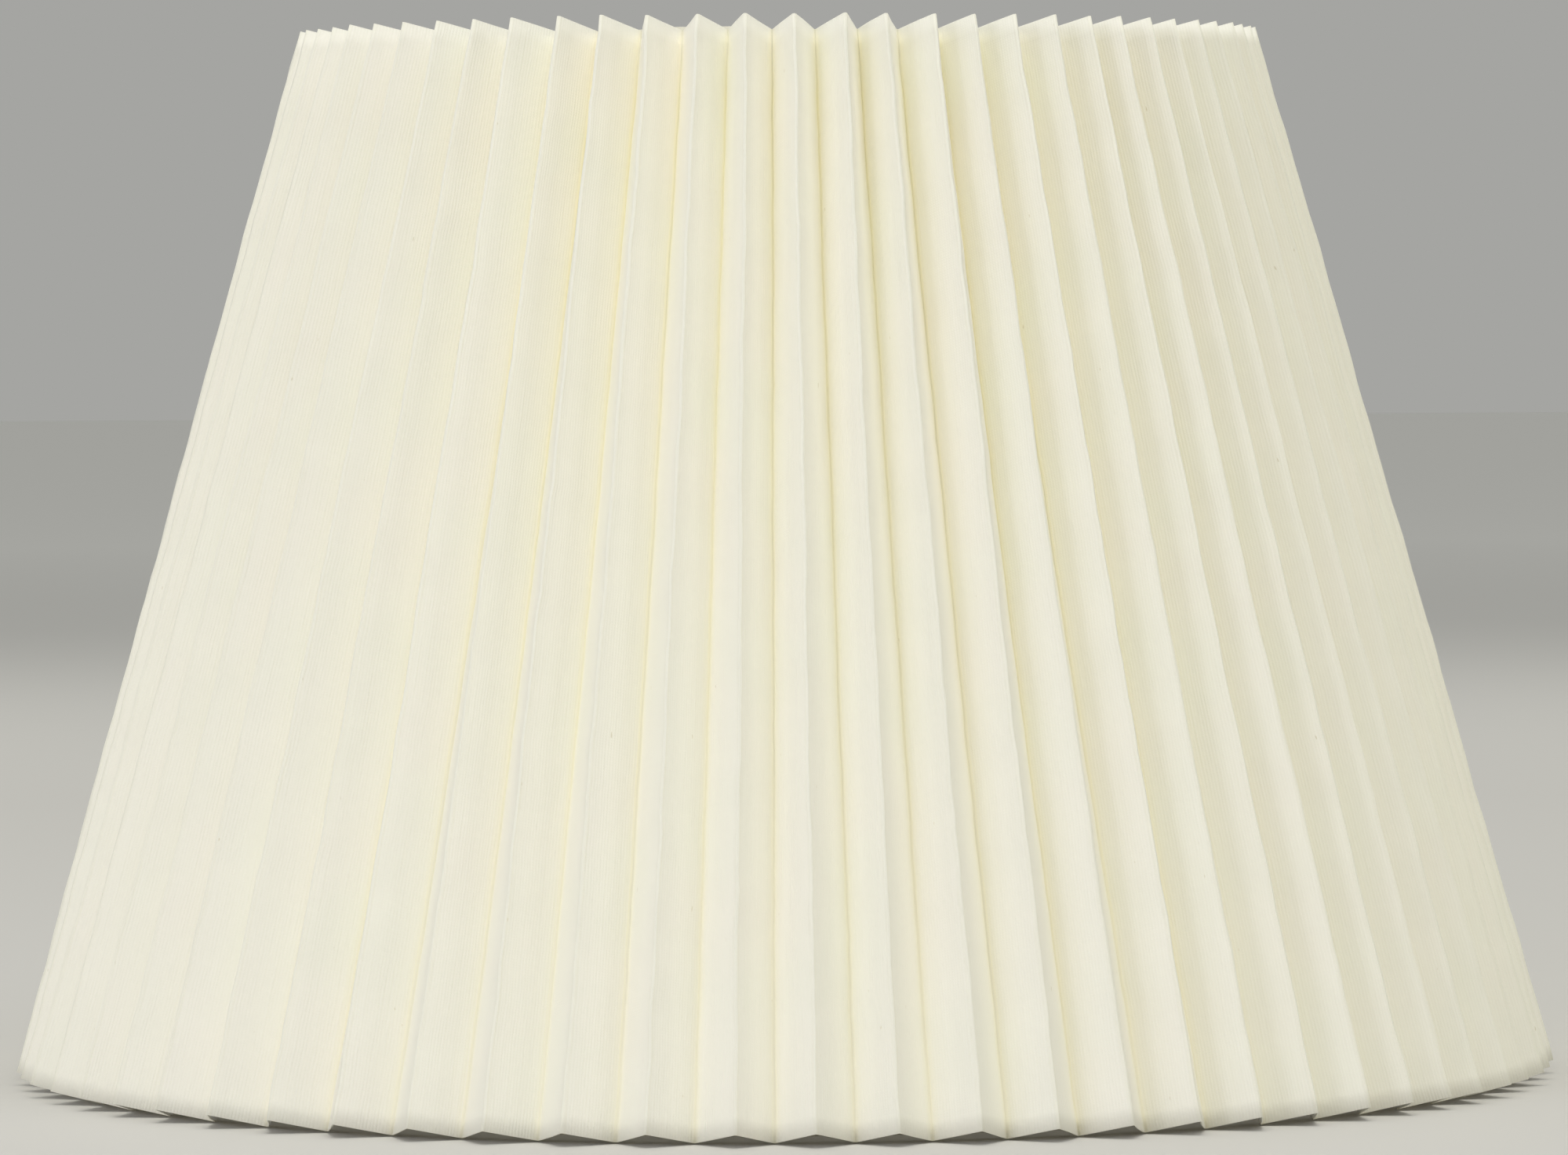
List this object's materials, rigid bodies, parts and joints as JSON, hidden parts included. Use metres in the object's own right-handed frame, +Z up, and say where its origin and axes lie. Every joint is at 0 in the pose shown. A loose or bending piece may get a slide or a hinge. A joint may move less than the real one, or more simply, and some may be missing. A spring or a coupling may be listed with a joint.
{
  "type": "lamp shade",
  "caption": "Pleated empire lamp shade of cream fabric on a stiff film, with taped wire rings and a spider fitter for a harp.",
  "frame": {"origin": "on the axis, in the plane that the bottoms of the inner folds stand on", "axes": "+Z up along the shade's axis, narrow end up; -Y is the front; arm 1 of the fitter points to +Y"},
  "size_m": [0.3682, 0.368, 0.2503],
  "materials": {
    "cover_fabric": "matte cream plain weave, linen look, with a faint rib along the folds",
    "backing_film": "smooth translucent white film, low sheen",
    "ring_wire": "white coated round wire",
    "binding_tape": "matte cream cotton tape",
    "glue": "set clear-white hot-melt bead",
    "fitter_metal": "thin satin plating over steel wire"
  },
  "bodies": {
    "root": {"pleated_cover": "cover_fabric", "styrene_backing": "backing_film", "top_ring": "ring_wire", "bottom_ring": "ring_wire", "top_ring_tape": "binding_tape", "bottom_ring_tape": "binding_tape", "top_glue_bead": "glue", "bottom_glue_bead": "glue", "spider_arm_1": "fitter_metal", "spider_arm_2": "fitter_metal", "spider_arm_3": "fitter_metal", "fitter_washer": "fitter_metal"}
  },
  "joints": []
}
